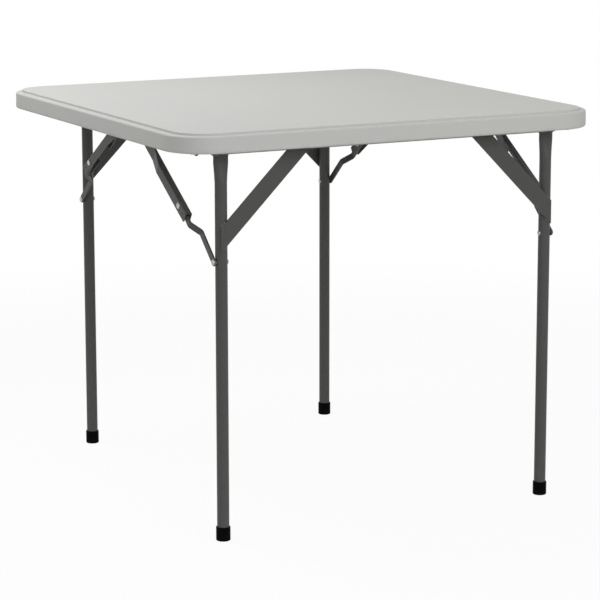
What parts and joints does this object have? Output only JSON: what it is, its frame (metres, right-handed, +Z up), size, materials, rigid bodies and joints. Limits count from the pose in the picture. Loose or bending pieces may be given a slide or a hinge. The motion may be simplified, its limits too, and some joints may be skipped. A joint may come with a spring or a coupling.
{
  "type": "folding card table",
  "caption": "Square folding table: moulded plastic top, tubular leg frames that swing up under it, and folding stays that hold the frames open.",
  "frame": {"origin": "on the floor under the middle of the top", "axes": "+X to the right along the front edge, +Y from front to back, +Z up"},
  "size_m": [0.8598, 0.8598, 0.74],
  "materials": {
    "top_plastic": "pale grey moulded polyethylene, finely textured",
    "frame_paint": "dark grey powder coat, satin",
    "bright_zinc": "zinc plated",
    "foot_rubber": "matt black",
    "bush_plastic": "black nylon"
  },
  "bodies": {
    "table_top": {"table_top": "top_plastic", "side_rail_left": "frame_paint", "side_rail_right": "frame_paint", "rail_screws": "bright_zinc", "bracket_screws": "bright_zinc", "front_left_bush": "bush_plastic", "front_left_stay_bracket": "frame_paint", "front_left_stay_pivot_rivet": "bright_zinc", "front_right_bush": "bush_plastic", "front_right_stay_bracket": "frame_paint", "front_right_stay_pivot_rivet": "bright_zinc", "back_left_bush": "bush_plastic", "back_left_stay_bracket": "frame_paint", "back_left_stay_pivot_rivet": "bright_zinc", "back_right_bush": "bush_plastic", "back_right_stay_bracket": "frame_paint", "back_right_stay_pivot_rivet": "bright_zinc"},
    "front_legs": {"front_cross_tube": "frame_paint", "front_cross_tube_retainers": "bright_zinc", "front_left_leg": "frame_paint", "front_left_foot_cap": "foot_rubber", "front_left_brace": "frame_paint", "front_left_leg_rivet": "bright_zinc", "front_right_leg": "frame_paint", "front_right_foot_cap": "foot_rubber", "front_right_brace": "frame_paint", "front_right_leg_rivet": "bright_zinc"},
    "front_left_arm": {"front_left_stay_arm": "frame_paint", "front_left_knee_rivet": "bright_zinc"},
    "front_left_link": {"front_left_stay_link": "frame_paint", "front_left_stay_end_rivet": "bright_zinc"},
    "front_right_arm": {"front_right_stay_arm": "frame_paint", "front_right_knee_rivet": "bright_zinc"},
    "front_right_link": {"front_right_stay_link": "frame_paint", "front_right_stay_end_rivet": "bright_zinc"},
    "back_legs": {"back_cross_tube": "frame_paint", "back_cross_tube_retainers": "bright_zinc", "back_left_leg": "frame_paint", "back_left_foot_cap": "foot_rubber", "back_left_brace": "frame_paint", "back_left_leg_rivet": "bright_zinc", "back_right_leg": "frame_paint", "back_right_foot_cap": "foot_rubber", "back_right_brace": "frame_paint", "back_right_leg_rivet": "bright_zinc"},
    "back_left_arm": {"back_left_stay_arm": "frame_paint", "back_left_knee_rivet": "bright_zinc"},
    "back_left_link": {"back_left_stay_link": "frame_paint", "back_left_stay_end_rivet": "bright_zinc"},
    "back_right_arm": {"back_right_stay_arm": "frame_paint", "back_right_knee_rivet": "bright_zinc"},
    "back_right_link": {"back_right_stay_link": "frame_paint", "back_right_stay_end_rivet": "bright_zinc"}
  },
  "joints": [
    {"name": "front_legs_fold", "type": "hinge", "parent": "table_top", "child": "front_legs", "pos_m": [0, -0.381, 0.708], "axis": [1, 0, 0], "range_deg": [0, 90]},
    {"name": "front_left_arm_swing", "type": "hinge", "parent": "table_top", "child": "front_left_arm", "pos_m": [-0.365, -0.106, 0.708], "axis": [1, 0, 0], "range_deg": [-32.65, 0]},
    {"name": "front_left_knee_fold", "type": "hinge", "parent": "front_left_arm", "child": "front_left_link", "pos_m": [-0.365, -0.281, 0.59591], "axis": [1, 0, 0], "range_deg": [0, 171]},
    {"name": "front_right_arm_swing", "type": "hinge", "parent": "table_top", "child": "front_right_arm", "pos_m": [0.365, -0.106, 0.708], "axis": [1, 0, 0], "range_deg": [-32.65, 0]},
    {"name": "front_right_knee_fold", "type": "hinge", "parent": "front_right_arm", "child": "front_right_link", "pos_m": [0.365, -0.281, 0.59591], "axis": [1, 0, 0], "range_deg": [0, 171]},
    {"name": "back_legs_fold", "type": "hinge", "parent": "table_top", "child": "back_legs", "pos_m": [0, 0.381, 0.7105], "axis": [-1, 0, 0], "range_deg": [0, 90]},
    {"name": "back_left_arm_swing", "type": "hinge", "parent": "table_top", "child": "back_left_arm", "pos_m": [-0.303, 0.106, 0.7105], "axis": [-1, 0, 0], "range_deg": [-32.65, 0]},
    {"name": "back_left_knee_fold", "type": "hinge", "parent": "back_left_arm", "child": "back_left_link", "pos_m": [-0.303, 0.281, 0.59841], "axis": [-1, 0, 0], "range_deg": [0, 171]},
    {"name": "back_right_arm_swing", "type": "hinge", "parent": "table_top", "child": "back_right_arm", "pos_m": [0.303, 0.106, 0.7105], "axis": [-1, 0, 0], "range_deg": [-32.65, 0]},
    {"name": "back_right_knee_fold", "type": "hinge", "parent": "back_right_arm", "child": "back_right_link", "pos_m": [0.303, 0.281, 0.59841], "axis": [-1, 0, 0], "range_deg": [0, 171]}
  ],
  "couplings": [
    {"joint": "front_left_arm_swing", "follows": "front_legs_fold", "ratio": -0.36267},
    {"joint": "front_left_knee_fold", "follows": "front_legs_fold", "ratio": 1.9},
    {"joint": "front_right_arm_swing", "follows": "front_legs_fold", "ratio": -0.36267},
    {"joint": "front_right_knee_fold", "follows": "front_legs_fold", "ratio": 1.9},
    {"joint": "back_left_arm_swing", "follows": "back_legs_fold", "ratio": -0.36267},
    {"joint": "back_left_knee_fold", "follows": "back_legs_fold", "ratio": 1.9},
    {"joint": "back_right_arm_swing", "follows": "back_legs_fold", "ratio": -0.36267},
    {"joint": "back_right_knee_fold", "follows": "back_legs_fold", "ratio": 1.9}
  ]
}
